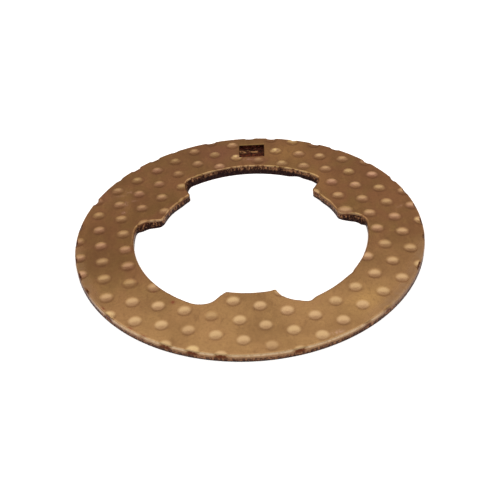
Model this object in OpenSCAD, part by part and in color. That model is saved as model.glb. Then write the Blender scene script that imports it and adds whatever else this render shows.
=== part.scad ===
// Differential thrust washer: one flat ring blanked from bronze strip, with
// three lugs inside the bore, a running face covered in round oil dents and
// one sunk rectangular inspection mark. Millimetres. The washer lies on its
// plain face: z = 0 is the underside and the dented face looks up. The origin
// is the centre of the outside diameter on the underside.

/* [Ring] */
// Outside diameter
outer_d = 80; // [70:0.5:100]
// Thickness of the strip
thickness = 2; // [1.5:0.1:4]
// Width and depth of the edge rolled over by the blanking punch, upper face
edge_roll = 0.45; // [0.2:0.05:0.5]
// Small break on the lower outside edge
edge_break = 0.15; // [0.05:0.05:0.3]

/* [Bore] */
// Bore diameter between the lugs
bore_d = 53.8; // [50:0.2:58]
// How far the punched bore sits off the outside diameter's centre, to the right
bore_shift_x = 0.36; // [-0.5:0.02:0.5]
// How far the punched bore sits off the outside diameter's centre, backwards
bore_shift_y = -0.14; // [-0.5:0.02:0.5]

/* [Lugs] */
// Number of lugs
lug_count = 3; // [2:1:4]
// Diameter across the lug tips
lug_tip_d = 42.6; // [40:0.2:46]
// Width of a lug at its tip
lug_tip_w = 11.6; // [8:0.2:14]
// Angle of each flank to the lug's centre line
lug_flank = 33; // [20:1:40]
// Radius of the tip corners
lug_corner_r = 1.3; // [1.3:0.1:1.8]
// Radius of the root fillets
lug_root_r = 3.5; // [2.5:0.1:4]
// Angle of the first lug's centre line
lug_phase = 27.5; // [0:0.5:119]

/* [Oil dents] */
// Diameter of a dent at the face
dent_d = 3.2; // [2:0.1:3.6]
// Depth of a dent
dent_depth = 0.2; // [0.15:0.05:0.5]
// Pitch along a row
dent_pitch = 5.88; // [5:0.02:7]
// Pitch from row to row
dent_row_pitch = 5.92; // [5:0.02:7]
// Direction of the rows
dent_row_angle = -19.3; // [-90:0.1:90]
// Angle from the rows to the second direction of the pattern
dent_skew = -62.1; // [-70:0.1:-50]
// Where the pattern starts, to the right of the centre
dent_start_x = -3.35; // [-6:0.01:6]
// Where the pattern starts, behind the centre
dent_start_y = -29.8; // [-36:0.01:36]

/* [Sunk mark] */
// Width of the mark
mark_w = 6.4; // [4:0.1:8]
// Length of the mark, front to back
mark_l = 5.7; // [4:0.1:6]
// Middle of the mark, to the right of the centre
mark_x = 2.1; // [-6:0.05:6]
// Middle of the mark, behind the centre
mark_y = 33.6; // [32.5:0.1:34]
// Depth at its front edge, where the punch sank in least
mark_depth_front = 0.15; // [0.1:0.05:0.4]
// Depth at its back edge
mark_depth_back = 0.7; // [0.4:0.05:0.9]

/* [Hidden] */
$fn = 96;

bronze = [0.64, 0.46, 0.29];
ro = outer_d / 2;
rb = bore_d / 2;
rt = lug_tip_d / 2;
rc = lug_corner_r;
rf = lug_root_r;
past = 0.3;
// Corner and fillet arcs cross their neighbours at a slight angle instead of
// just touching them, and their rolls lie this much outside the others, so
// that no two surfaces nearly coincide.
slip = 0.008;
lap = 0.004;

// One flank of a lug whose centre line is +X. a: sharp tip corner, u: along
// the flank towards the root, n: away from the metal.
a = [sqrt(rt * rt - lug_tip_w * lug_tip_w / 4), lug_tip_w / 2];
u = [cos(lug_flank), sin(lug_flank)];
n = [-sin(lug_flank), cos(lug_flank)];
// How far along direction u from point q the circle of radius r is met.
function reach(q, r) = -(q * u) + sqrt((q * u) * (q * u) - q * q + r * r);
// Root fillet: touches the flank and, from inside, the bore circle.
fs = reach(a + rf * n, rb - rf);
fc = a + rf * n + fs * u;
// Tip corner: touches the flank and, from outside, the tip circle.
cs = reach(a - rc * n, rt + rc);
cc = a - rc * n + cs * u;
// Touching points, from the tip to the bore circle.
t1 = cc * rt / norm(cc);
t2 = a + cs * u;
t3 = a + fs * u;
t4 = fc * rb / norm(fc);
function ang(v) = atan2(v[1], v[0]);
tip_half = ang(t1);
root_half = ang(t4);

// Dent geometry: a ball pressed to depth leaves a cap of this radius.
ball_r = (dent_d * dent_d / 4 + dent_depth * dent_depth) / (2 * dent_depth);
row = [cos(dent_row_angle), sin(dent_row_angle)];
col = [cos(dent_row_angle + dent_skew), sin(dent_row_angle + dent_skew)];
start = [dent_start_x, dent_start_y];
function dent_at(i, j) = start + i * dent_pitch * row + j * dent_row_pitch * col;
bore_c = [bore_shift_x, bore_shift_y];
// Angle of a point from the nearest lug's centre line, seen from the bore.
function off_lug(p) =
    let (w = 360 / lug_count, g = ang(p - bore_c) - lug_phase)
    abs(g - w * round(g / w));
// A dent is struck where it meets metal.
function on_metal(p) =
    norm(p) < ro + dent_d / 2 - 0.1 &&
    norm(p - bore_c) > (off_lug(p) < root_half ? rt : rb) - dent_d / 2 + 0.1;

// Section of what an edge loses: the sharp corner is at the origin and the
// metal lies to the left of it and below it.
module lost_corner(e, over = past) {
    difference() {
        translate([-e, -e]) square([e + over, e + over]);
        translate([-1.2 * e, -1.2 * e]) circle(r = e * sqrt(0.04 + 1.44));
    }
}

// Outline of the hole, before its lugs are put in place round it.
module lug_outline() {
    difference() {
        union() {
            polygon([
                [t1[0], -t1[1]], [t2[0], -t2[1]], [t3[0], -t3[1]], [t4[0], -t4[1]],
                [t4[0] + 1, -t4[1] - 0.5], [rb + 1, 0], [t4[0] + 1, t4[1] + 0.5],
                t4, t3, t2, t1
            ]);
            translate(cc) circle(r = rc + slip);
            translate([cc[0], -cc[1]]) circle(r = rc + slip);
        }
        translate(fc) circle(r = rf + slip);
        translate([fc[0], -fc[1]]) circle(r = rf + slip);
        circle(r = rt);
    }
}

module hole_outline() {
    difference() {
        circle(r = rb);
        for (k = [0 : lug_count - 1])
            rotate(lug_phase + k * 360 / lug_count) lug_outline();
    }
}

// Edge roll along an arc of radius r from angle a0 through sweep. inner: the
// metal is outside the arc.
module roll_arc(r, a0, sweep, inner) {
    translate([0, 0, thickness])
        rotate([0, 0, a0])
            rotate_extrude(angle = sweep)
                translate([r, 0])
                    mirror([inner ? 1 : 0, 0]) lost_corner(edge_roll);
}

// The same for a small arc round c, lapping its neighbours at both ends.
module roll_turn(c, r, a0, sweep, inner) {
    more = 0.04 / r * 180 / PI;
    translate([c[0], c[1], thickness])
        rotate([0, 0, a0 - more])
            rotate_extrude(angle = sweep + 2 * more)
                translate([r, 0])
                    mirror([inner ? 1 : 0, 0])
                        translate([lap, lap]) lost_corner(edge_roll, past - 0.1);
}

// Edge roll along a straight flank from p to q, with the metal on the right.
module roll_line(p, q) {
    translate([p[0], p[1], thickness])
        rotate([0, 0, ang(q - p)])
            rotate([90, 0, 90])
                linear_extrude(height = norm(q - p)) lost_corner(edge_roll);
}

module half_lug_roll() {
    roll_turn(cc, rc, ang(t2 - cc), 90 - lug_flank + tip_half, false);
    roll_line(t2, t3);
    roll_turn(fc, rf, ang(t3 - fc), 90 - lug_flank + root_half, true);
}

// The dished blank edge on the upper side of the whole hole.
module hole_roll() {
    for (k = [0 : lug_count - 1])
        rotate([0, 0, lug_phase + k * 360 / lug_count]) {
            roll_arc(rt, -tip_half, 2 * tip_half, true);
            half_lug_roll();
            mirror([0, 1, 0]) half_lug_roll();
            roll_arc(rb, root_half, 360 / lug_count - 2 * root_half, true);
        }
}

// Full disc with its rolled upper edge and broken lower edge.
module blank() {
    rotate_extrude()
        difference() {
            square([ro, thickness]);
            translate([ro, thickness]) lost_corner(edge_roll);
            translate([ro, 0]) mirror([0, 1]) lost_corner(edge_break);
        }
}

module oil_dents() {
    for (i = [-9 : 16], j = [-16 : 4]) {
        p = dent_at(i, j);
        if (on_metal(p))
            translate([p[0], p[1], thickness])
                intersection() {
                    translate([0, 0, ball_r - dent_depth]) sphere(r = ball_r);
                    translate([-dent_d, -dent_d, -1]) cube([2 * dent_d, 2 * dent_d, 1.1]);
                }
    }
}

// The punch stood at a slight angle, so the mark is deeper at the back.
module sunk_mark() {
    lean = atan((mark_depth_back - mark_depth_front) / mark_l);
    translate([mark_x - mark_w / 2, mark_y - mark_l / 2, thickness - mark_depth_front])
        rotate([-lean, 0, 0])
            cube([mark_w, mark_l / cos(lean), 2]);
}

module washer() {
    color(bronze)
        difference() {
            blank();
            translate([bore_shift_x, bore_shift_y, -1])
                linear_extrude(height = thickness + 2) hole_outline();
            translate([bore_shift_x, bore_shift_y, 0]) hole_roll();
            oil_dents();
            sunk_mark();
        }
}

washer();
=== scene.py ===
import math

import bpy
import numpy as np
from mathutils import Matrix, Vector
from mathutils.geometry import delaunay_2d_cdt


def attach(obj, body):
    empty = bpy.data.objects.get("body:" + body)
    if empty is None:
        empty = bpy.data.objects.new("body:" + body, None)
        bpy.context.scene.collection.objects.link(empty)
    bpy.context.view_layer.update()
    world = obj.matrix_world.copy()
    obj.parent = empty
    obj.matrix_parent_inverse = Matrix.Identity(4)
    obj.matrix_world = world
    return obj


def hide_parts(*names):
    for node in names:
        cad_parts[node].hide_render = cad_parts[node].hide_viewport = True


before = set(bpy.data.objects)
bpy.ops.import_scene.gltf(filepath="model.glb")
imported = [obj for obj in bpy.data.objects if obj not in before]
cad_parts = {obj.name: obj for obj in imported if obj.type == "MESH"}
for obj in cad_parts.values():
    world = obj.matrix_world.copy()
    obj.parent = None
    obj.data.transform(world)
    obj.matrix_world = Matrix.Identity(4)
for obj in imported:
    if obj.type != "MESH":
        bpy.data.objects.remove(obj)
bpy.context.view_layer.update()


# ---------------------------------------------------------------- sizes, mm
# The same values as in the CAD source.
RO = 39.99            # outside radius, a hair inside the CAD box
T = 2.0               # thickness
E = 0.45              # rolled edge
BREAK = 0.15          # lower outside edge
RB, RT = 26.9, 21.3   # bore and lug tip radii
BC = np.array([0.36, -0.14])
TIP_W, FLANK = 11.6, math.radians(33)
RC, RF = 1.3, 3.5
PHASE = math.radians(27.5)
DENT_R = 1.6
PITCH_A, PITCH_B = 5.88, 5.92
ANG_A, SKEW = math.radians(-19.3), math.radians(-62.1)
START = np.array([-3.35, -29.8])
MARK_W, MARK_L = 6.4, 5.7
MARK_C = np.array([2.08, 33.67])
MARK_TURN = math.radians(-1.7)
MARK_FRONT, MARK_BACK = 0.15, 0.7
TOP = T - 0.008       # mean level of the slightly uneven face


# ------------------------------------------------------------------- noise
_rng = np.random.RandomState(20261)
_perm = _rng.permutation(512)
_vals = _rng.rand(512) * 2 - 1


def value_noise(p, scale, seed=0):
    """Smooth value noise of an (N, 3) array, feature size `scale`, -1..1."""
    q = np.asarray(p, float) / scale + 37.7 * (seed + 1)
    i = np.floor(q).astype(int)
    f = q - i
    f = f * f * f * (f * (f * 6 - 15) + 10)
    out = 0.0
    for dx in (0, 1):
        for dy in (0, 1):
            for dz in (0, 1):
                h = _perm[(i[:, 0] + dx + seed * 131) & 511]
                h = _perm[(h + i[:, 1] + dy) & 511]
                h = _perm[(h + i[:, 2] + dz) & 511]
                w = (f[:, 0] if dx else 1 - f[:, 0]) * (f[:, 1] if dy else 1 - f[:, 1]) * (f[:, 2] if dz else 1 - f[:, 2])
                out = out + w * _vals[h]
    return out


def fractal(p, scale, octaves=3, seed=0, gain=0.5):
    total, amp, out = 0.0, 1.0, 0.0
    for o in range(octaves):
        out = out + amp * value_noise(p, scale / 2 ** o, seed + o * 17)
        total += amp
        amp *= gain
    return out / total


def smooth(a, b, x):
    t = np.clip((x - a) / (b - a), 0, 1)
    return t * t * (3 - 2 * t)


# ------------------------------------------------------- outlines of the ring
def hole_elements():
    """The lug in its own frame, centre line +X: points on the outline and unit normals into the metal."""
    a = np.array([math.sqrt(RT * RT - TIP_W * TIP_W / 4), TIP_W / 2])
    u = np.array([math.cos(FLANK), math.sin(FLANK)])
    n = np.array([-math.sin(FLANK), math.cos(FLANK)])

    def reach(q, r):
        return -(q @ u) + math.sqrt((q @ u) ** 2 - q @ q + r * r)
    fs = reach(a + RF * n, RB - RF)
    fc = a + RF * n + fs * u
    cs = reach(a - RC * n, RT + RC)
    cc = a - RC * n + cs * u
    t1 = cc * RT / np.linalg.norm(cc)
    t2, t3 = a + cs * u, a + fs * u
    t4 = fc * RB / np.linalg.norm(fc)

    def ang(v):
        return math.atan2(v[1], v[0])
    pts, nrm = [], []

    def arc(c, r, a0, a1, side, step):
        k = max(3, int(math.ceil(abs(a1 - a0) * r / step)))
        for t in np.linspace(a0, a1, k + 1)[:-1]:
            e = np.array([math.cos(t), math.sin(t)])
            pts.append(np.array(c) + r * e)
            nrm.append(side * e)
    arc((0, 0), RT, 0, ang(t1), 1, 0.2)
    a0 = ang(t1 - cc) % (2 * math.pi)
    arc(cc, RC, a0, ang(t2 - cc), -1, 0.11)
    k = 10
    for t in np.linspace(0, 1, k + 1)[:-1]:
        pts.append(t2 + (t3 - t2) * t)
        nrm.append(-n)
    arc(fc, RF, ang(t3 - fc), ang(t4 - fc), 1, 0.18)
    arc((0, 0), RB, ang(t4), math.pi / 3, 1, 0.2)
    return np.array(pts), np.array(nrm), math.degrees(ang(t4))


LUG_P, LUG_N, ROOT_HALF = hole_elements()


def hole_outline():
    # one third: mirrored half, then the half itself
    p = np.vstack([(LUG_P[1:] * [1, -1])[::-1], LUG_P])
    m = np.vstack([(LUG_N[1:] * [1, -1])[::-1], LUG_N])
    e = np.array([math.cos(-math.pi / 3), math.sin(-math.pi / 3)])
    p = np.vstack([[RB * e], p])
    m = np.vstack([[e], m])
    P, M = [], []
    for k in range(3):
        g = PHASE + k * 2 * math.pi / 3
        R = np.array([[math.cos(g), -math.sin(g)], [math.sin(g), math.cos(g)]])
        P.append(p @ R.T + BC)
        M.append(m @ R.T)
    return np.vstack(P), np.vstack(M)


def closed_smooth(x, width):
    """Gaussian smoothing along a closed row."""
    k = np.arange(-4 * width, 4 * width + 1)
    w = np.exp(-0.5 * (k / width) ** 2)
    w /= w.sum()
    return sum(wi * np.roll(x, int(ki), axis=0) for wi, ki in zip(w, k))


def angle_gap(a, b):
    return (a - b + 180) % 360 - 180


def bump(theta, centre, width, amount):
    return amount * np.exp(-0.5 * (angle_gap(theta, centre) / width) ** 2)


def window(theta, a, b, soft):
    """1 between the angles a and b, in degrees, with soft ends."""
    mid, half = (a + b) / 2, (b - a) / 2
    return smooth(half + soft / 2, half - soft / 2, np.abs(angle_gap(theta, mid)))


HOLE_P, HOLE_M = hole_outline()
HOLE_A = np.degrees(np.arctan2(HOLE_P[:, 1] - BC[1], HOLE_P[:, 0] - BC[0])) % 360
# Each lug came out a little different: one is broader at the back, the front one has
# uneven corners, and the notch on its right is not a clean arc.
BACK = window(HOLE_A, 52, 124, 8)
_in = 0.2 * BACK
for centre, width, amount in ((128.6, 2.2, 0.75), (140.5, 4.5, 0.25), (32, 3, 0.18), (47.6, 1.5, -0.3),
                              (244.8, 2.0, 0.18), (251.4, 1.1, -0.75), (281.2, 0.9, 0.10), (282.6, 0.6, 0.24), (284.0, 0.8, -1.0), (287.3, 1.3, 0.52),
                              (290.2, 1.4, 0.42), (295.0, 1.6, -0.45), (321.5, 1.4, -0.16)):
    _in = _in + bump(HOLE_A, centre, width, amount)
_q = HOLE_P - BC
HOLE_P = BC + _q * (1 - _in / np.hypot(_q[:, 0], _q[:, 1]))[:, None]
_tan = np.roll(HOLE_P, -1, axis=0) - np.roll(HOLE_P, 1, axis=0)
_nrm = np.stack([_tan[:, 1], -_tan[:, 0]], 1)
_nrm /= np.hypot(_nrm[:, 0], _nrm[:, 1])[:, None]
_nrm = closed_smooth(_nrm, 2)
HOLE_M = _nrm / np.hypot(_nrm[:, 0], _nrm[:, 1])[:, None]
NO = 1280
_t = np.arange(NO) * 2 * math.pi / NO
OUT_M = -np.stack([np.cos(_t), np.sin(_t)], 1)
OUT_P = -OUT_M * RO


def hole_radius(theta, d):
    """Radius of the hole's outline, offset d into the metal, as seen from the bore centre."""
    q = HOLE_P + d * HOLE_M - BC
    th = np.arctan2(q[:, 1], q[:, 0])
    o = np.argsort(th)
    th, r = th[o], np.hypot(q[:, 0], q[:, 1])[o]
    return np.interp(theta, np.concatenate([th - 2 * math.pi, th, th + 2 * math.pi]), np.tile(r, 3))


# ---------------------------------------------------------------------- dents
def dent_centres():
    ra = np.array([math.cos(ANG_A), math.sin(ANG_A)])
    rb = np.array([math.cos(ANG_A + SKEW), math.sin(ANG_A + SKEW)])
    out = []
    for i in range(-9, 17):
        for j in range(-16, 5):
            p = START + i * PITCH_A * ra + j * PITCH_B * rb
            q = p - BC
            w = 120.0
            g = math.degrees(math.atan2(q[1], q[0]) - PHASE)
            g = abs(g - w * round(g / w))
            if np.hypot(*p) < 40 + DENT_R - 0.1 and np.hypot(*q) > (RT if g < ROOT_HALF else RB) - DENT_R + 0.1:
                out.append(p)
    return np.array(out)


DENTS = dent_centres()
# Dents that were struck a little off the pattern: place and shift.
for x, y, dx, dy in ((-34.6, 3.3, -0.27, 0.10), (-33.8, -2.5, -0.23, 0.02), (-32.9, -8.4, -0.27, 0.03), (-32.0, -14.2, -0.25, 0.03),
                     (-31.1, -20.1, -0.08, -0.25), (-25.5, -22.0, 0.01, -0.22), (-24.7, -27.9, 0.02, -0.30), (-27.1, 22.9, 0.0, 0.2),
                     (-26.2, 17.0, -0.12, 0.2), (-24.4, 5.3, 0.0, -0.3), (-20.9, -18.1, -0.2, 0.16), (-22.4, 26.8, 0.1, 0.3),
                     (-15.3, -20.1, -0.3, 0.2), (-16.0, 19.0, 0.18, 0.1), (-12.2, 28.7, 0.25, 0.2), (-13.1, 34.6, 0.2, 0.1),
                     (-11.3, 22.9, 0.0, -0.25), (-6.7, 26.8, 0.3, 0.16), (-8.9, -27.9, 0.05, -0.2), (-3.4, -29.8, 0.28, 0.0),
                     (9.1, 26.8, 0.33, -0.2), (13.8, 30.7, 0.33, -0.22), (14.7, 24.9, 0.22, 0.0), (15.5, 19.0, -0.27, 0.04),
                     (16.2, -20.0, -0.35, -0.2), (35.7, -10.2, -0.25, -0.05), (34.8, -4.4, -0.08, 0.16), (31.1, -14.1, -0.17, -0.06),
                     (22.9, 5.4, 0.1, -0.45), (22.6, -27.8, -0.15, 0.25)):
    DENTS[np.argmin(np.hypot(DENTS[:, 0] - x, DENTS[:, 1] - y))] += (dx, dy)
_r2 = np.random.RandomState(77)
DENT_SCALE = 1 + 0.3 * (_r2.rand(len(DENTS)) - 0.5)      # the roll struck some a little deeper
DENT_LIGHT = _r2.rand(len(DENTS))
# some are wider: place and factor
DENT_WIDE = np.ones(len(DENTS))
for x, y, factor in ((22.9, 5.4, 1.27), (31.1, -14.1, 0.95), (16.2, -20.0, 1.05)):
    DENT_WIDE[np.argmin(np.hypot(DENTS[:, 0] - x, DENTS[:, 1] - y))] = factor
for x, y, value in ((22.9, 5.4, 0.4), (26.1, -11.8, 0.0), (-39.0, -0.1, 0.1), (-38.1, -6.3, 0.0), (-37.1, -12.3, 0.1), (36.0, -15.4, 0.9)):
    DENT_LIGHT[np.argmin(np.hypot(DENTS[:, 0] - x, DENTS[:, 1] - y))] = value
# A few dents are stained yellow or orange.
DENT_WARM = np.zeros(len(DENTS))
for x, y, amount in ((8.4, 33.2, 0.85), (-2.2, 31.2, 0.7), (27.4, 17.3, 0.3), (-2.8, 36.8, 0.3), (16.0, 17.4, 0.3), (12.9, 36.6, 0.8), (39.5, -0.5, 0.9), (-30.2, -25.9, 0.35), (-12.7, -37.6, 0.35), (34.8, -4.4, 0.25), (31.1, -14.1, 0.15)):
    DENT_WARM[np.argmin(np.hypot(DENTS[:, 0] - x, DENTS[:, 1] - y))] = amount


# Dents that were pressed flat again or have tarnished over: place and amount.
DENT_DULL = 0.40 * smooth(-8, -18, DENTS[:, 0]) * smooth(-30, -8, DENTS[:, 1])
DENT_DULL = DENT_DULL + 0.16 * smooth(8, 22, DENTS[:, 0]) * smooth(26, 10, DENTS[:, 1]) + 0.16 * (np.random.RandomState(5).rand(len(DENTS)) - 0.4)
for x, y, amount in ((3.9, 28.2, 0.6), (-9.4, -27.9, 0.6), (2.3, -31.9, 0.12), (-28.0, -16.5, 0.5), (3.4, -37.5, 0.5), (-13.5, -31.5, 0.3),
                     (36.0, -15.4, -0.1)):
    DENT_DULL[np.argmin(np.hypot(DENTS[:, 0] - x, DENTS[:, 1] - y))] = amount
DENT_SCALE = DENT_SCALE * (1 - 0.5 * np.clip(DENT_DULL - 0.45, 0, 1) / 0.55)
DENT_DULL = np.clip(DENT_DULL, 0, 1)
_r = np.hypot(DENTS[:, 0], DENTS[:, 1])
AT_RIM = smooth(38.6, 39.6, _r)
DENT_SCALE = DENT_SCALE * (1 - 0.5 * smooth(39.4, 40.0, _r) * (DENTS[:, 1] > 15))
DENT_SCALE = DENT_SCALE * (1 - 0.26 * smooth(-12, -26, DENTS[:, 1]))
DENT_DULL = np.maximum(DENT_DULL, 0.5 * AT_RIM * (DENTS[:, 1] > -20) * (DENTS[:, 0] < 30))
for x, y, amount in ((-39.0, -0.1, 0.65), (-38.1, -6.3, 0.45), (-37.1, -12.3, 0.15), (22.9, 5.0, 0.28), (-20.9, -18.1, 0.28),
                     (8.4, 33.2, 0.0), (9.4, 26.6, 0.0), (14.1, 30.5, 0.0), (14.9, 24.9, 0.0)):
    DENT_DULL[np.argmin(np.hypot(DENTS[:, 0] - x, DENTS[:, 1] - y))] = amount

# Soft stains on the face, mm: middle, radii, turn in degrees, amount.
GOLD = ((12.0, 31.5, 7.5, 5.5, -20, 0.75), (17.5, 20.0, 3.2, 7.0, 15, 0.5), (23.0, -26.0, 5.0, 3.0, 40, 0.6), (-29.4, 14.0, 1.2, 5.0, 8, 0.5))
RUDDY = ((-6.0, 32.5, 4.0, 5.0, 0, 0.6), (-35.0, 18.0, 3.0, 5.0, 20, 0.6), (-34.0, -6.0, 3.5, 6.0, 0, 0.4), (3.5, 28.6, 2.6, 1.6, -4, 0.7))
SHADE = ((2.0, -32.5, 5.5, 4.5, 0, 0.5), (-2.5, -23.2, 3.5, 1.6, 0, 0.45), (-36.0, -10.0, 3.0, 5.0, 0, 0.35), (26.0, -14.0, 2.5, 6.0, 30, 0.3), (-22.0, -24.0, 4.0, 2.5, -35, 0.3))


# small marks: red-brown specks and rubbed streaks
RED = ((-16.9, -23.1, 0.45, 0.5, 0, 0.9), (-21.1, -19.3, 0.4, 0.3, 0, 0.55), (-31.6, -23.7, 0.55, 0.28, -53, 0.9), (-25.5, -30.2, 0.7, 0.25, -40, 0.9),
       (-22.5, -32.7, 0.8, 0.22, -35, 0.7), (-24.5, -31.6, 0.5, 0.3, -38, 0.5), (-29.9, -25.4, 0.3, 0.4, 0, 0.5), (26.6, 2.2, 1.0, 0.8, 0, 0.35),
       (-26.9, -4.0, 0.5, 0.9, 0, 0.5), (-26.2, -5.4, 0.5, 0.5, 0, 0.4))
SMEAR = ((-29.3, 13.2, 0.5, 1.3, 0, 0.7), (-29.5, 9.9, 0.6, 0.5, 0, 0.8), (-27.6, 14.4, 1.1, 0.25, 12, 0.5), (-30.6, 16.9, 1.4, 0.3, 5, 0.5), (-28.8, 18.2, 1.0, 0.4, -10, 0.6),
         (-31.2, 19.6, 0.9, 0.3, 20, 0.4), (-14.2, 21.0, 1.2, 0.5, 40, 0.5), (16.3, -35.2, 1.6, 0.5, 12, 0.55), (35.9, 5.4, 0.9, 0.3, 30, 0.6), (1.6, 29.6, 2.2, 0.35, -4, 0.8))


def stain(xy, spots):
    out = np.zeros(len(xy))
    for x, y, rx, ry, turn, amount in spots:
        c, s = math.cos(math.radians(turn)), math.sin(math.radians(turn))
        u, v = xy[:, 0] - x, xy[:, 1] - y
        out = np.maximum(out, amount * np.exp(-0.5 * (((u * c + v * s) / rx) ** 2 + ((v * c - u * s) / ry) ** 2) * 2.2))
    return out


def nearest_dent(xy):
    """Index of and distance to the nearest dent of each point."""
    best = np.full(len(xy), 1e9)
    idx = np.zeros(len(xy), int)
    for s in range(0, len(xy), 4000):
        d = np.hypot(xy[s:s + 4000, None, 0] - DENTS[None, :, 0], xy[s:s + 4000, None, 1] - DENTS[None, :, 1])
        k = d.argmin(1)
        idx[s:s + 4000] = k
        best[s:s + 4000] = d[np.arange(len(k)), k]
    return idx, best


# Section of a dent: a shallow ball mark whose slope fades out in a soft shoulder.
_d = np.linspace(0, 1.8, 181)
_slope = 0.112 * (1 - np.exp(-_d / 0.32)) * (1 - smooth(1.36, 1.8, _d))
DENT_D = _d
DENT_Z = np.cumsum(_slope[::-1])[::-1] * (_d[1] - _d[0])


def mark_frame(xy):
    q = xy - MARK_C
    c, s = math.cos(-MARK_TURN), math.sin(-MARK_TURN)
    return q[:, 0] * c - q[:, 1] * s, q[:, 0] * s + q[:, 1] * c


def in_mark(xy, grow=0.0):
    a, b = mark_frame(xy)
    return np.minimum(MARK_W / 2 + grow - np.abs(a), MARK_L / 2 + grow - np.abs(b))


def dent_drop(xy):
    """How far the face lies below its level, with the dents' soft rims, and the radial place in the nearest dent."""
    idx, d = nearest_dent(xy)
    d = d / DENT_WIDE[idx]
    drop = DENT_SCALE[idx] * DENT_WIDE[idx] * np.interp(d, DENT_D, DENT_Z)
    # flattened under and in front of the mark, where the punch pressed the metal down
    a, b = mark_frame(xy)
    soft = smooth(-0.4, 0.4, in_mark(xy, 0.25))
    return drop * (1 - 0.85 * soft), d / DENT_R, idx


def level(xy):
    p = np.column_stack([xy, np.zeros(len(xy))])
    return TOP + 0.006 * fractal(p, 9.0, 2, 3)


def surface(xy, z0=None):
    """Height of the upper surface at xy, given the height z0 it has without dents and mark."""
    drop, t, idx = dent_drop(xy)
    base = level(xy)
    if z0 is None:
        z0 = base
    z = np.minimum(z0, base - drop)
    return z, t, idx


# ------------------------------------------------------------ mesh collecting
class Build:
    def __init__(self):
        self.v, self.f, self.a = [], [], {k: [] for k in ("dent", "light", "warm", "dull", "wall", "mark", "roll", "wall_foot_shade", "break_and_shade", "gold", "ruddy", "shade", "near_side_light", "roll_highlight", "red", "smear", "markv", "haze")}
        self.n = 0

    def add(self, pts, **att):
        pts = np.asarray(pts, float)
        self.v.append(pts)
        for name, spots in (("gold", GOLD), ("ruddy", RUDDY), ("shade", SHADE), ("red", RED), ("smear", SMEAR)):
            att[name] = stain(pts[:, :2], spots)
        # painted light: coloured lighter towards the camera side
        att["near_side_light"] = 0.8 * smooth(-4, -24, pts[:, 1] - 0.15 * pts[:, 0])
        # a paler, rougher haze along the right-hand edge
        ang = np.degrees(np.arctan2(pts[:, 1], pts[:, 0]))
        att["haze"] = smooth(37.2, 39.5, np.hypot(pts[:, 0], pts[:, 1])) * np.maximum(window(ang, -50, -14, 16), 0.8 * window(ang, 184, 212, 14))
        for k, store in self.a.items():
            x = att.get(k, 0.0)
            store.append(np.broadcast_to(np.asarray(x, float), (len(pts),)).copy())
        base = self.n
        self.n += len(pts)
        return base

    def strip(self, a, b, n, flip=False):
        """Quads between two closed rows of n points that start at indices a and b."""
        i = np.arange(n)
        j = (i + 1) % n
        q = np.stack([a + i, a + j, b + j, b + i], 1)
        if flip:
            q = q[:, ::-1]
        self.f.append(q)

    def tris(self, t):
        self.f.append(np.asarray(t))


B = Build()


INNER = E + 0.34      # the rows round the rim end here
INNER_H = E + 0.45    # and those round the hole here


def roll_profile(n):
    """(d, z) of a rolled upper edge of size 1, from the face to the wall."""
    r = math.sqrt(0.04 + 1.44)
    a0, a1 = math.atan2(1.2, 0.2), math.atan2(0.2, 1.2)
    return [(1.2 - r * math.cos(t), -1.2 + r * math.sin(t)) for t in np.linspace(a0, a1, n)]


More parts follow.
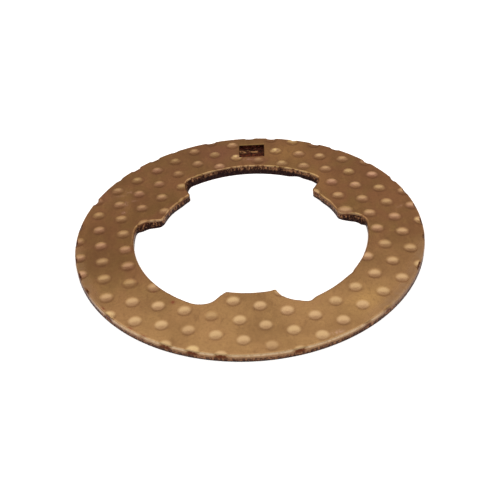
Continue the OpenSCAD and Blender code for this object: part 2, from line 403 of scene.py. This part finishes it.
def edge_rows(P, M, outer, seed, roll_size, lean, inner, uneven):
    """Rows of one edge from the face, over the roll, down the wall and round to the underside."""
    n = len(P)
    rows = []
    _, near = nearest_dent(P)
    idx0, _ = nearest_dent(P)
    # how near a dent is to the edge: the edge breaks there, and it is also painted with shade
    break_and_shade = smooth(1.62, 0.75, near) * (1.0 if outer else 0.6)
    # at the back the dents break the rim open; at the sides they press it in less, and the edge just in front of them
    # gets painted shade
    nearer = smooth(-16, -26, P[:, 1])
    further = smooth(8, 16, P[:, 1]) * (1 - 0.5 * smooth(18, 28, P[:, 0]))
    if outer:
        bite, sink = 0.04 + 0.34 * further + 0.10 * nearer, 0.26 + 0.46 * further + 0.08 * nearer
    else:
        bite, sink = 0.08, 0.34
    # painted shade on the edge just in front of the dents at the sides
    _, lower = nearest_dent(P + [0.0, 0.45])
    dent_front_shade = smooth(1.7, 0.9, lower) * (1 - nearer) * (1 - further) if outer else 0.0
    xy3 = np.column_stack([P, np.zeros(n)])
    size = roll_size * (1 + 0.10 * fractal(xy3, 3.0, 2, seed + 3) + uneven * fractal(xy3, 0.8, 3, seed + 31))
    prof = [(inner, 0.0, 0.0, 0), (E + 0.17, 0.0, 0.0, 0), (E + 0.07, 0.0, 0.15, 0)]
    pits = 0.0 if outer else (0.95 * BACK + 0.6 * window(HOLE_A, 132, 146, 6) + 0.5 * (window(HOLE_A, 156, 172, 4) + window(HOLE_A, 2, 13, 4))) * smooth(0.10, 0.34, fractal(xy3, 0.62, 2, seed + 77))
    # painted highlight on the rolled edge: along the near rim and on stretches of the hole's edge
    highlight_amount = nearer * (1 - 0.7 * smooth(22, 31, P[:, 0])) if outer else 0.45 * (window(HOLE_A, 8, 16, 3) + window(HOLE_A, 150, 168, 4)) + 0.15 * BACK
    for k, (d, z) in enumerate(roll_profile(10)):
        prof.append((d, z, min(1.0, 0.3 + k / 5), 1))
    for k, (d, z, roll, on_roll) in enumerate(prof):
        dd = d * size if on_roll else (np.full(n, d) if k == 0 else size + (d - E))
        # where a dent meets the edge the metal gave way, down and inwards
        give = break_and_shade * smooth(0.74, 0.14, dd)
        xy = P + (dd + bite * give)[:, None] * M
        z0 = level(xy) + z * (size if on_roll else 0.0)
        zz, t, idx = surface(xy, z0)
        in_dent = smooth(1.05, 0.7, t)
        # the near ones keep their floor up to the roll
        sag = break_and_shade * ((1 - nearer) * smooth(0.74, 0.14, dd) + nearer * smooth(0.36, 0.08, dd))
        zz = np.minimum(zz, np.where(in_dent > 0, level(xy) - sink * sag * in_dent, zz)) if on_roll or k > 0 else zz
        low = smooth(0.25, 0.8, -z) if on_roll else 0.0
        rows.append((xy, zz, dict(dent=t, light=DENT_LIGHT[idx], warm=DENT_WARM[idx], dull=DENT_DULL[idx], roll=roll, wall=0.25 * low * (1 - 0.9 * nearer * in_dent), break_and_shade=np.maximum(np.maximum(break_and_shade * ((1 - nearer) * smooth(0.60, 0.44, dd) * (1 - 0.6 * further) + nearer * smooth(0.20, 0.05, dd) if outer else low), dent_front_shade * smooth(0.0, 0.12, -z) * on_roll), pits * smooth(0.02, 0.2, -z) * on_roll), roll_highlight=highlight_amount * on_roll * 0.78 * smooth(0.05, 0.5, -z) * (1 - 0.5 * smooth(0.5, 1.0, -z)) * smooth(0.72, 1.05, t), wall_foot_shade=0.0)))
    # wall below the roll
    top_xy, top_z = rows[-1][0], rows[-1][1]
    push0 = bite * break_and_shade
    depth = [0.05, 0.13, 0.22, 0.33, 0.45, 0.57, 0.69, 0.81, 0.92]
    lo = BREAK if outer else 0.06
    # burnished band under the roll ends in a ragged line, and the torn metal below it lies a little deeper
    line = (0.14 + 0.16 * nearer if outer else 0.0) + 0.10 * fractal(xy3, 2.2, 3, seed) + 0.08 * value_noise(xy3, 0.45, seed + 5)
    for k, s in enumerate(depth):
        z = top_z + (lo - top_z) * s
        q = np.column_stack([P, z])
        torn = smooth(-0.08, 0.10, s - line)
        rough = 0.5 + 0.5 * fractal(q * [1, 1, 1.4], 0.5, 3, seed + 9, 0.65)
        # upright tear marks
        tear = 0.5 + 0.5 * value_noise(np.column_stack([P, z * 0.25]), 0.32, seed + 21)
        amp = 0.04 if outer else 0.13
        d = torn * (0.012 + amp * (0.7 * rough + 0.3 * tear)) + push0 * (1 - smooth(0.1, 0.5, s))
        d = d + lean * smooth(0.35, 1.0, s)
        # painted shadow: the lower wall is coloured near-black, most at the back of the hole, least on the near rim
        rows.append((P + d[:, None] * M, z, dict(dent=2.0, light=0.5, roll=0.0, wall=0.25 + 0.75 * torn, wall_foot_shade=np.minimum(1.0, s * (1 - 0.25 * nearer * outer + (0.0 if outer else 0.35 * BACK))), break_and_shade=np.maximum(break_and_shade * smooth(0, 1, (0.45 + 0.12 * nearer - s) / 0.33), dent_front_shade * smooth(0.5, 0.2, s)), roll_highlight=highlight_amount * (1 - torn) * (1 - 0.9 * break_and_shade) * (0.2 if outer else 0.15))))
    # lower edge, coloured as the foot of the wall with its painted shadow
    for d, z in ((0.02 + (0.0 if outer else 0.03), lo * 0.8), (0.05 + (0 if outer else 0.02), lo * 0.35), (BREAK if outer else 0.1, 0.0), (0.9 if outer else 0.6, 0.0)):
        rows.append((P + (d + lean * (1 if d < 0.5 else 0))[:, None] * M, np.full(n, z), dict(dent=2.0, light=0.5, roll=0.0, wall=1.0 if z > 0 else 0.3, wall_foot_shade=1.0)))
    return rows


def add_rows(rows, n, flip):
    idx = []
    for xy, z, att in rows:
        idx.append(B.add(np.column_stack([xy, z]), **att))
    for a, b in zip(idx[:-1], idx[1:]):
        B.strip(a, b, n, flip)
    return idx


OUT_A = np.degrees(_t)
# The torn lower half of the wall leans: inwards on the near rim, out into the hole at the back.
LEAN_OUT = bump(OUT_A, 256, 17, 0.08)
LEAN_HOLE = (0.05 - 0.93 * window(HOLE_A, 63, 128, 7) - 0.46 * window(HOLE_A, 47, 60, 6)
             - 0.42 * window(HOLE_A, 163.7, 170, 2.4) - bump(HOLE_A, 167.5, 2.2, 0.45) - 0.80 * window(HOLE_A, 4, 10.5, 2.4)
             - bump(HOLE_A, 137, 6, 0.15))
out_rows = edge_rows(OUT_P, OUT_M, True, 40, np.full(NO, E), LEAN_OUT, INNER, 0.12)
hole_rows = edge_rows(HOLE_P, HOLE_M, False, 60, E - 0.1 * BACK, LEAN_HOLE, INNER_H - bump(HOLE_A, 131, 2.5, 0.17) - bump(HOLE_A, 252, 2.5, 0.2) - bump(HOLE_A, 283, 2.5, 0.2), 0.15 + 0.45 * BACK)
out_idx = add_rows(out_rows, NO, True)
hole_idx = add_rows(hole_rows, len(HOLE_P), False)

# --------------------------------------------------------------- upper face
loop_out = out_rows[0][0]
loop_hole = hole_rows[0][0]


def gap(xy):
    """Rough distance to the edge of the area that is filled here, negative outside."""
    ro = (RO - INNER) - np.hypot(xy[:, 0], xy[:, 1])
    q = xy - BC
    ri = np.hypot(q[:, 0], q[:, 1]) - hole_radius(np.arctan2(q[:, 1], q[:, 0]), INNER_H)
    return np.minimum(ro, ri * 0.9)


def within(xy, loop):
    """Which points lie inside a closed loop."""
    hit = np.zeros(len(xy), bool)
    for (xa, ya), (xb, yb) in zip(loop, np.roll(loop, -1, axis=0)):
        if ya != yb:
            k = ((ya > xy[:, 1]) != (yb > xy[:, 1])) & (xy[:, 0] < xa + (xy[:, 1] - ya) * (xb - xa) / (yb - ya))
            hit[k] = ~hit[k]
    return hit


pts = []
rings = (0.0, 0.3, 0.6, 0.88, 1.12, 1.32, 1.46, 1.56, 1.64, 1.73, 1.86, 2.1)
for k, c in enumerate(DENTS):
    for i, r in enumerate(rings):
        m = 1 if r == 0 else (10 if r < 0.4 else 18 if r < 0.7 else 26 if r < 1.2 else 32)
        a = (np.arange(m) + 0.5 * (i % 2)) * 2 * math.pi / m
        pts.append(c + r * np.stack([np.cos(a), np.sin(a)], 1))
for x, y, rx, ry, turn, amount in RED + SMEAR:
    c, s = math.cos(math.radians(turn)), math.sin(math.radians(turn))
    for r in (0.0, 0.45, 0.9, 1.35):
        m = 1 if r == 0 else 10
        a = np.arange(m) * 2 * math.pi / m + 0.3
        u, v = r * rx * np.cos(a), r * ry * np.sin(a)
        spot = np.stack([x + u * c - v * s, y + u * s + v * c], 1)
        _, away = nearest_dent(spot)
        pts.append(spot[away > 2.15])
pts = np.vstack(pts)
keep = (gap(pts) > 0.11) & (in_mark(pts, 0.32) < 0)
pts = pts[keep]
# plain face between the dents
g = []
step = 0.85
for iy, y in enumerate(np.arange(-40, 40, step * 0.866)):
    for x in np.arange(-40, 40, step):
        g.append((x + (iy % 2) * step / 2, y))
g = np.array(g)
_, dist = nearest_dent(g)
g = g[(gap(g) > 0.35) & (dist > 2.45) & (in_mark(g, 0.75) < 0)]
# first row inside the structured rows
near = []
for P, M, d0 in ((OUT_P, OUT_M, INNER), (HOLE_P, HOLE_M, INNER_H)):
    q = (P + (d0 + 0.22) * M)[::2]
    _, dd = nearest_dent(q)
    near.append(q[(dd > 2.2) & (in_mark(q, 0.5) < 0)])
# the mark: rows on both sides of its rim, then a fine grid of its floor
mark_pts = []


def mark_world(a, b):
    c, s = math.cos(MARK_TURN), math.sin(MARK_TURN)
    return np.stack([MARK_C[0] + a * c - b * s, MARK_C[1] + a * s + b * c], -1)


def rim_points(grow, step):
    hw, hl = MARK_W / 2 + grow, MARK_L / 2 + grow
    nx, ny = int(round(2 * hw / step)), int(round(2 * hl / step))
    a = np.concatenate([np.linspace(-hw, hw, nx + 1)[:-1], np.full(ny, hw), np.linspace(hw, -hw, nx + 1)[:-1], np.full(ny, -hw)])
    b = np.concatenate([np.full(nx, -hl), np.linspace(-hl, hl, ny + 1)[:-1], np.full(nx, hl), np.linspace(hl, -hl, ny + 1)[:-1]])
    return mark_world(a, b)


loops = [rim_points(0.16, 0.14), rim_points(0.07, 0.13), rim_points(0.0, 0.12), rim_points(-0.07, 0.12)]
a = np.arange(-MARK_W / 2 + 0.17, MARK_W / 2 - 0.16, 0.115)
b = np.arange(-MARK_L / 2 + 0.17, MARK_L / 2 - 0.16, 0.115)
A, Bb = np.meshgrid(a, b)
floor_pts = mark_world(A.ravel(), Bb.ravel())

verts = [loop_out, loop_hole] + loops
edges = []
base = 0
for L in verts:
    k = len(L)
    edges += [(base + i, base + (i + 1) % k) for i in range(k)]
    base += k
n_fixed_out, n_fixed_hole = len(loop_out), len(loop_hole)
around = np.vstack([g, near[0], near[1]])
around = around[(gap(around) > 0.12)]
allp = np.vstack(verts + [floor_pts, pts, around])
res = delaunay_2d_cdt([Vector((float(x), float(y))) for x, y in allp], edges, [], 0, 1e-6, True)
cv = np.array([(v.x, v.y) for v in res[0]])
ct = np.array([f for f in res[2] if len(f) == 3])
orig = res[3]
mid = cv[ct].mean(1)
inside = (np.hypot(mid[:, 0], mid[:, 1]) < RO - INNER) & ~within(mid, loop_hole)
ct = ct[inside]
# every triangle anticlockwise seen from above
p0, p1, p2 = cv[ct[:, 0]], cv[ct[:, 1]], cv[ct[:, 2]]
area = (p1[:, 0] - p0[:, 0]) * (p2[:, 1] - p0[:, 1]) - (p1[:, 1] - p0[:, 1]) * (p2[:, 0] - p0[:, 0])
ct[area < 0] = ct[area < 0][:, ::-1]
ct = ct[np.abs(area) > 1e-7]


def mark_height(xy, z):
    """The sunk mark: a leaning floor with rough, torn metal in it, steep sides, a soft rim."""
    m = in_mark(xy)
    a, b = mark_frame(xy)
    s = np.clip((b + MARK_L / 2) / MARK_L, 0, 1)
    depth = MARK_FRONT + (MARK_BACK - MARK_FRONT) * s
    p = np.column_stack([xy, np.zeros(len(xy))])
    lumps = fractal(p * [1.0, 1.25, 1], 0.85, 3, 90, 0.6)
    ridge = 1 - 2 * np.abs(fractal(p, 1.3, 2, 120))
    relief = 0.13 * lumps + 0.10 * (ridge - 0.4)
    fl = depth + relief * smooth(0.0, 0.5, m) * (0.35 + 0.65 * s)
    fl = np.maximum(fl, 0.05)
    inside = smooth(-0.075, 0.085, m)
    soft = 0.008 * smooth(-0.3, 0.0, m)
    return z - soft * (1 - inside) - inside * fl, inside


z, t, idx = surface(cv)
z, ins = mark_height(cv, z)
b0 = B.add(np.column_stack([cv, z]), dent=t, light=DENT_LIGHT[idx], warm=DENT_WARM[idx], dull=DENT_DULL[idx], roll=0.0, wall=0.0, mark=ins, markv=mark_frame(cv)[1] / MARK_L)
# the two outer loops are shared with the structured rows
remap = np.arange(len(cv)) + b0
for i, o in enumerate(orig):
    for k in o:
        if k < n_fixed_out:
            remap[i] = out_idx[0] + k
        elif k < n_fixed_out + n_fixed_hole:
            remap[i] = hole_idx[0] + (k - n_fixed_out)
B.tris(remap[ct])

# ---------------------------------------------------------------- underside
lo_out, lo_hole = out_rows[-1][0], hole_rows[-1][0]
under = []
for iy, y in enumerate(np.arange(-40, 40, 2.6)):
    for x in np.arange(-40, 40, 3.0):
        under.append((x + (iy % 2) * 1.5, y))
under = np.array(under)
under = under[gap(under) > 0.9]
verts = [lo_out, lo_hole]
edges = [(i, (i + 1) % len(lo_out)) for i in range(len(lo_out))] + [(len(lo_out) + i, len(lo_out) + (i + 1) % len(lo_hole)) for i in range(len(lo_hole))]
res = delaunay_2d_cdt([Vector((float(x), float(y))) for x, y in np.vstack(verts + [under])], edges, [], 0, 1e-6, True)
uv_ = np.array([(v.x, v.y) for v in res[0]])
ut = np.array([f for f in res[2] if len(f) == 3])
mid = uv_[ut].mean(1)
ut = ut[(np.hypot(mid[:, 0], mid[:, 1]) < RO - 0.9) & ~within(mid, lo_hole)]
p0, p1, p2 = uv_[ut[:, 0]], uv_[ut[:, 1]], uv_[ut[:, 2]]
area = (p1[:, 0] - p0[:, 0]) * (p2[:, 1] - p0[:, 1]) - (p1[:, 1] - p0[:, 1]) * (p2[:, 0] - p0[:, 0])
ut[area > 0] = ut[area > 0][:, ::-1]
ut = ut[np.abs(area) > 1e-7]
b1 = B.add(np.column_stack([uv_, np.zeros(len(uv_))]), dent=2.0, light=0.5, roll=0.0, wall=0.0)
remap = np.arange(len(uv_)) + b1
for i, o in enumerate(res[3]):
    for k in o:
        if k < len(lo_out):
            remap[i] = out_idx[-1] + k
        elif k < len(lo_out) + len(lo_hole):
            remap[i] = hole_idx[-1] + (k - len(lo_out))
B.tris(remap[ut])

# --------------------------------------------------------------- to Blender
V = np.vstack(B.v)
V[:, 2] = np.clip(V[:, 2], 0, T)
quads = np.vstack([f for f in B.f if f.shape[1] == 4])
tris = np.vstack([f for f in B.f if f.shape[1] == 3])
used = np.zeros(len(V), bool)
used[quads.ravel()] = True
used[tris.ravel()] = True
new = np.cumsum(used) - 1
V = V[used] * 0.001
quads, tris = new[quads], new[tris]
me = bpy.data.meshes.new("washer_metal")
me.from_pydata([tuple(v) for v in V], [], [tuple(int(i) for i in f) for f in quads] + [tuple(int(i) for i in f) for f in tris])
for name, parts in B.a.items():
    att = me.attributes.new(name, "FLOAT", "POINT")
    att.data.foreach_set("value", np.concatenate(parts)[used].astype(np.float32))
me.shade_smooth()
me.update()
washer = bpy.data.objects.new("washer_metal", me)
bpy.context.scene.collection.objects.link(washer)
print("MESH", len(V), "verts", 2 * len(quads) + len(tris), "tris")


# ---------------------------------------------------------------- materials
class Nodes:
    def __init__(self, mat):
        mat.use_nodes = True
        self.t = mat.node_tree
        self.t.nodes.clear()

    def new(self, kind, **kw):
        n = self.t.nodes.new(kind)
        for k, v in kw.items():
            setattr(n, k, v)
        return n

    def link(self, a, b):
        self.t.links.new(a, b)

    def put(self, socket, value):
        if isinstance(value, bpy.types.NodeSocket):
            self.link(value, socket)
        else:
            socket.default_value = value

    def math(self, op, a, b=None, c=None, clamp=False):
        n = self.new("ShaderNodeMath", operation=op, use_clamp=clamp)
        self.put(n.inputs[0], a)
        if b is not None:
            self.put(n.inputs[1], b)
        if c is not None:
            self.put(n.inputs[2], c)
        return n.outputs[0]

    def mix(self, fac, a, b):
        n = self.new("ShaderNodeMix", data_type="RGBA")
        self.put(n.inputs[0], fac)
        self.put(n.inputs[6], a)
        self.put(n.inputs[7], b)
        return n.outputs[2]

    def fmix(self, fac, a, b):
        n = self.new("ShaderNodeMix", data_type="FLOAT")
        self.put(n.inputs[0], fac)
        self.put(n.inputs[2], a)
        self.put(n.inputs[3], b)
        return n.outputs[0]

    def range(self, x, a, b, c=0.0, d=1.0, kind="SMOOTHSTEP"):
        n = self.new("ShaderNodeMapRange", interpolation_type=kind)
        n.clamp = True
        self.put(n.inputs[0], x)
        for i, v in enumerate((a, b, c, d)):
            n.inputs[1 + i].default_value = v
        return n.outputs[0]

    def noise(self, vec, scale, detail=3.0, rough=0.5, distortion=0.0):
        n = self.new("ShaderNodeTexNoise", noise_dimensions="3D")
        self.put(n.inputs["Vector"], vec)
        n.inputs["Scale"].default_value = scale
        n.inputs["Detail"].default_value = detail
        n.inputs["Roughness"].default_value = rough
        n.inputs["Distortion"].default_value = distortion
        return n.outputs["Fac"]

    def attr(self, name):
        return self.new("ShaderNodeAttribute", attribute_name=name, attribute_type="GEOMETRY").outputs["Fac"]


def rgb(r, g, b):
    return (r, g, b, 1.0)


bronze = bpy.data.materials.new("bronze")
N = Nodes(bronze)
tex = N.new("ShaderNodeTexCoord").outputs["Object"]
dent, light = N.attr("dent"), N.attr("light")
wall, mark, roll, wall_foot_shade = N.attr("wall"), N.attr("mark"), N.attr("roll"), N.attr("wall_foot_shade")
warm, break_and_shade, dull = N.attr("warm"), N.attr("break_and_shade"), N.attr("dull")
roll_highlight, red, smear, markv = N.attr("roll_highlight"), N.attr("red"), N.attr("smear"), N.attr("markv")
gold, ruddy, shade, near_side_light = N.attr("gold"), N.attr("ruddy"), N.attr("shade"), N.attr("near_side_light")
haze = N.attr("haze")

# face: tarnished bronze in soft reddish and olive patches
patch = N.range(N.noise(tex, 130.0, 3.0, 0.55, 0.3), 0.36, 0.64)
fine = N.noise(tex, 900.0, 3.0, 0.6)
face = N.mix(patch, rgb(0.288, 0.154, 0.067), rgb(0.264, 0.166, 0.059))
# painted light: the face lighter towards the camera side
face = N.mix(near_side_light, face, rgb(0.352, 0.208, 0.088))
face = N.mix(gold, face, rgb(0.430, 0.265, 0.095))
face = N.mix(ruddy, face, rgb(0.270, 0.130, 0.075))
face = N.mix(shade, face, rgb(0.190, 0.108, 0.044))
# smudges, thin stains drawn out along the strip, and grain
stretch = N.new("ShaderNodeMapping")
stretch.inputs["Scale"].default_value = (2.6, 1.0, 1.0)
stretch.inputs["Rotation"].default_value = (0.0, 0.0, 0.12)
N.link(tex, stretch.inputs["Vector"])
smudge = N.noise(tex, 75.0, 4.0, 0.6, 0.4)
streak = N.noise(stretch.outputs[0], 260.0, 4.0, 0.65)
grain = N.noise(tex, 1500.0, 3.0, 0.7)
face = N.mix(N.range(smudge, 0.40, 0.68, 0.0, 0.42), face, rgb(0.175, 0.092, 0.036))
face = N.mix(N.range(streak, 0.52, 0.74, 0.0, 0.40), face, rgb(0.170, 0.088, 0.036))
face = N.mix(N.range(streak, 0.48, 0.28, 0.0, 0.35), face, rgb(0.385, 0.235, 0.095))
face = N.mix(N.range(grain, 0.42, 0.72, 0.0, 0.24), face, rgb(0.150, 0.078, 0.032))
face = N.mix(N.math("MULTIPLY", smear, N.range(grain, 0.40, 0.58)), face, rgb(0.52, 0.34, 0.25))
face = N.mix(red, face, rgb(0.190, 0.040, 0.022))

# dents: burnished, paler
in_dent = N.range(N.math("ADD", dent, N.math("MULTIPLY", dull, 0.12)), 0.54, 1.04, 1.0, 0.0)
pale = N.mix(light, rgb(0.475, 0.288, 0.180), rgb(0.432, 0.300, 0.140))
# painted light: the dents paler towards the camera side
pale = N.mix(near_side_light, pale, rgb(0.560, 0.396, 0.208))
pale = N.mix(N.math("MULTIPLY", warm, N.range(fine, 0.30, 0.62)), pale, rgb(0.72, 0.56, 0.25))
shown = N.math("MULTIPLY", in_dent, N.math("SUBTRACT", 0.92, N.math("MULTIPLY", dull, 0.85)))
col = N.mix(shown, face, pale)
# painted shade: a dark ring round each dent, stronger away from the camera side
dent_edge_shade = N.math("MULTIPLY", N.range(dent, 0.9, 1.05), N.range(dent, 1.3, 1.08))
col = N.mix(N.math("MULTIPLY", dent_edge_shade, N.range(near_side_light, 0.0, 0.8, 0.32, 0.10)), col, rgb(0.20, 0.10, 0.05))

# rolled edge: rubbed a little paler, away from the dents
edge = N.math("MULTIPLY", roll, N.range(dent, 1.0, 1.25))
edge = N.math("MULTIPLY", edge, N.range(N.noise(tex, 1900.0, 3.0, 0.6), 0.36, 0.56, 0.35, 1.0))
col = N.mix(N.math("MULTIPLY", edge, 0.65), col, rgb(0.50, 0.32, 0.165))
hazy = N.math("MULTIPLY", haze, N.range(dent, 0.85, 1.2))
col = N.mix(N.math("MULTIPLY", hazy, N.range(fine, 0.36, 0.60, 0.20, 0.45)), col, rgb(0.34, 0.235, 0.155))
# painted highlight: pale cream on the rolled edges
speck = N.noise(tex, 1300.0, 3.0, 0.65)
col = N.mix(N.math("MULTIPLY", roll_highlight, N.range(speck, 0.38, 0.56, 0.45, 0.95)), col, rgb(0.80, 0.62, 0.41))

# torn walls
upright = N.new("ShaderNodeMapping")
upright.inputs["Scale"].default_value = (1.0, 1.0, 0.18)
N.link(tex, upright.inputs["Vector"])
torn = N.fmix(0.45, N.noise(tex, 2600.0, 4.0, 0.7), N.noise(upright.outputs[0], 1700.0, 3.0, 0.6))
wcol = N.mix(N.range(torn, 0.47, 0.60), rgb(0.026, 0.009, 0.006), rgb(0.32, 0.155, 0.074))
# painted shadow: near-black towards the foot of the walls
wcol = N.mix(N.range(wall_foot_shade, 0.40, 0.90, 0.0, 0.92), wcol, rgb(0.014, 0.006, 0.007))
# painted light: the upper wall lighter towards the camera side
wcol = N.mix(N.math("MULTIPLY", near_side_light, N.range(wall_foot_shade, 0.35, 0.75, 0.42, 0.0)), wcol, rgb(0.17, 0.075, 0.038))
col = N.mix(N.range(wall, 0.25, 0.8), col, wcol)
# the dark burnished band under the roll, held back under the painted highlight
band = N.math("MULTIPLY", N.range(wall, 0.05, 0.25), N.range(wall, 0.6, 0.3))
col = N.mix(N.math("MULTIPLY", band, N.math("SUBTRACT", 0.8, N.math("MULTIPLY", roll_highlight, 0.8))), col, rgb(0.13, 0.058, 0.030))
# dark red-brown: real broken and pitted metal where dents meet the edges and along the lower part of the hole's roll,
# with painted shade under and in front of the dents
col = N.mix(N.math("MULTIPLY", break_and_shade, N.range(speck, 0.36, 0.5, 0.65, 0.95)), col, rgb(0.075, 0.018, 0.007))

# the sunk mark: dark reddish oxide
mnoise = N.noise(tex, 1500.0, 4.0, 0.65)
mcol = N.mix(N.range(mnoise, 0.42, 0.62), rgb(0.009, 0.0014, 0.001), rgb(0.075, 0.018, 0.010))
# rusty along the front, rough bright crests in a band across the middle
mcol = N.mix(N.math("MULTIPLY", N.range(markv, -0.12, -0.32), N.range(mnoise, 0.36, 0.56)), mcol, rgb(0.125, 0.030, 0.012))
across = N.math("MULTIPLY", N.range(markv, -0.16, -0.04), N.range(markv, 0.20, 0.08))
flat = N.new("ShaderNodeMapping")
flat.inputs["Scale"].default_value = (0.45, 1.0, 1.0)
N.link(tex, flat.inputs["Vector"])
mcol = N.mix(N.math("MULTIPLY", across, N.range(N.noise(flat.outputs[0], 1500.0, 4.0, 0.7), 0.49, 0.60, 0.0, 0.9)), mcol, rgb(0.50, 0.29, 0.13))
mcol = N.mix(N.range(mnoise, 0.62, 0.70, 0.0, 0.7), mcol, rgb(0.38, 0.20, 0.11))
col = N.mix(N.range(mark, 0.08, 0.45), col, mcol)

rough = N.math("ADD", N.math("MULTIPLY", fine, 0.08), 0.14)
rough = N.fmix(N.range(dent, 0.6, 1.0, 1.0, 0.0), rough, N.fmix(near_side_light, 0.18, 0.25))
rough = N.fmix(roll, rough, 0.33)
rough = N.fmix(hazy, rough, 0.5)
rough = N.fmix(N.range(wall, 0.25, 0.8), rough, 0.55)
rough = N.fmix(N.range(mark, 0.08, 0.45), rough, 0.6)

bump_h = N.math("ADD", N.math("MULTIPLY", N.noise(tex, 1400.0, 4.0, 0.6), 1.0), N.math("MULTIPLY", N.math("MULTIPLY", wall, torn), 3.0))
bump_h = N.math("ADD", bump_h, N.math("MULTIPLY", N.math("MULTIPLY", mark, mnoise), 3.0))
bump = N.new("ShaderNodeBump")
bump.inputs["Strength"].default_value = 0.14
bump.inputs["Distance"].default_value = 0.00003
N.link(bump_h, bump.inputs["Height"])

bsdf = N.new("ShaderNodeBsdfPrincipled")
N.link(N.range(wall, 0.25, 0.8, 1.0, 0.35), bsdf.inputs["Metallic"])
bsdf.inputs["Specular IOR Level"].default_value = 0.05
N.link(col, bsdf.inputs["Base Color"])
N.link(rough, bsdf.inputs["Roughness"])
N.link(bump.outputs["Normal"], bsdf.inputs["Normal"])
out = N.new("ShaderNodeOutputMaterial")
N.link(bsdf.outputs[0], out.inputs["Surface"])
me.materials.append(bronze)

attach(washer, "root")
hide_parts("washer")

# -------------------------------------------------------------------- stage
bpy.ops.mesh.primitive_plane_add(size=3.0, location=(0, 0, 0))
floor = bpy.context.object
floor.name = "floor"
fm = bpy.data.materials.new("floor_paper")
F = Nodes(fm)
fb = F.new("ShaderNodeBsdfPrincipled")
fb.inputs["Base Color"].default_value = rgb(0.93, 0.93, 0.93)
fb.inputs["Emission Color"].default_value = rgb(1, 1, 1)
fb.inputs["Emission Strength"].default_value = 0.55
fb.inputs["Roughness"].default_value = 0.9
fb.inputs["Specular IOR Level"].default_value = 0.1
fo = F.new("ShaderNodeOutputMaterial")
F.link(fb.outputs[0], fo.inputs["Surface"])
floor.data.materials.append(fm)


# ------------------------------------------------------------------- lights
def area(name, loc, target, size_x, size_y, power, color=(1, 1, 1)):
    d = bpy.data.lights.new(name, "AREA")
    d.shape = "RECTANGLE"
    d.size, d.size_y = size_x, size_y
    d.energy = power
    d.color = color
    o = bpy.data.objects.new(name, d)
    bpy.context.scene.collection.objects.link(o)
    o.location = loc
    o.rotation_euler = (Vector(target) - Vector(loc)).to_track_quat("-Z", "Y").to_euler()
    return o


softbox = area("softbox", (0.0, 0.345, 0.84), (0, 0.35, 0), 2.2, 1.2, 6.3)
softbox.rotation_euler = (0, 0, math.radians(6.4))
softbox.data.color = (0.95, 1.0, 0.97)

world = bpy.data.worlds.new("studio")
bpy.context.scene.world = world
world.use_nodes = True
wt = world.node_tree
bg = wt.nodes["Background"]


def world_range(x, a, b, c, d):
    n = wt.nodes.new("ShaderNodeMapRange")
    n.interpolation_type = "SMOOTHSTEP"
    for i, v in enumerate((a, b, c, d)):
        n.inputs[1 + i].default_value = v
    wt.links.new(x, n.inputs[0])
    return n.outputs[0]


# the room: dim behind the washer and warmer towards the table, bright in front of it
way = wt.nodes.new("ShaderNodeTexCoord")
sep = wt.nodes.new("ShaderNodeSeparateXYZ")
wt.links.new(way.outputs["Generated"], sep.inputs[0])
front = world_range(sep.outputs[1], 0.15, -0.25, 0.0, 1.0)
low = world_range(sep.outputs[2], 0.475, 0.53, 0.44, 0.84)
high = world_range(sep.outputs[2], 0.54, 0.63, 1.0, 0.76)
level_node = wt.nodes.new("ShaderNodeMath")
level_node.operation = "MULTIPLY"
wt.links.new(low, level_node.inputs[0])
wt.links.new(high, level_node.inputs[1])
back_level = level_node.outputs[0]
blend = wt.nodes.new("ShaderNodeMix")
blend.data_type = "FLOAT"
wt.links.new(front, blend.inputs[0])
wt.links.new(back_level, blend.inputs[2])
blend.inputs[3].default_value = 0.85
wt.links.new(blend.outputs[0], bg.inputs["Strength"])
warmth = wt.nodes.new("ShaderNodeMix")
warmth.data_type = "RGBA"
wt.links.new(world_range(sep.outputs[2], 0.40, 0.53, 0.0, 1.0), warmth.inputs[0])
warmth.inputs[6].default_value = rgb(1.0, 0.66, 0.48)
warmth.inputs[7].default_value = rgb(1.0, 0.78, 0.71)
tint = wt.nodes.new("ShaderNodeMix")
tint.data_type = "RGBA"
wt.links.new(front, tint.inputs[0])
wt.links.new(warmth.outputs[2], tint.inputs[6])
tint.inputs[7].default_value = rgb(1.0, 0.96, 0.93)
wt.links.new(tint.outputs[2], bg.inputs["Color"])

# ------------------------------------------------------------------- camera
F_PX, TILT, ROLL = 880.27975, 0.68081, -0.0648
TX, TY, TZ = -0.00694, -0.11618, 5.07571        # in outside radii, from the middle of the upper face
UNIT = 0.04
R0 = np.array([[1, 0, 0], [0, -math.sin(TILT), -math.cos(TILT)], [0, math.cos(TILT), -math.sin(TILT)]])
Rz = np.array([[math.cos(ROLL), -math.sin(ROLL), 0], [math.sin(ROLL), math.cos(ROLL), 0], [0, 0, 1]])
R = Rz @ R0
C = -R.T @ np.array([TX, TY, TZ]) * UNIT + np.array([0, 0, T * 0.001])
cam_data = bpy.data.cameras.new("camera")
cam_data.sensor_fit = "HORIZONTAL"
cam_data.sensor_width = 36.0
cam_data.lens = 36.0 * F_PX / 500.0
cam_data.clip_start = 0.01
cam = bpy.data.objects.new("camera", cam_data)
bpy.context.scene.collection.objects.link(cam)
M = Matrix.Identity(4)
for r in range(3):
    M[r][0], M[r][1], M[r][2], M[r][3] = R[0][r], -R[1][r], -R[2][r], C[r]
cam.matrix_world = M
bpy.context.scene.camera = cam
bpy.context.scene.view_settings.view_transform = "Standard"

bpy.context.view_layer.update()
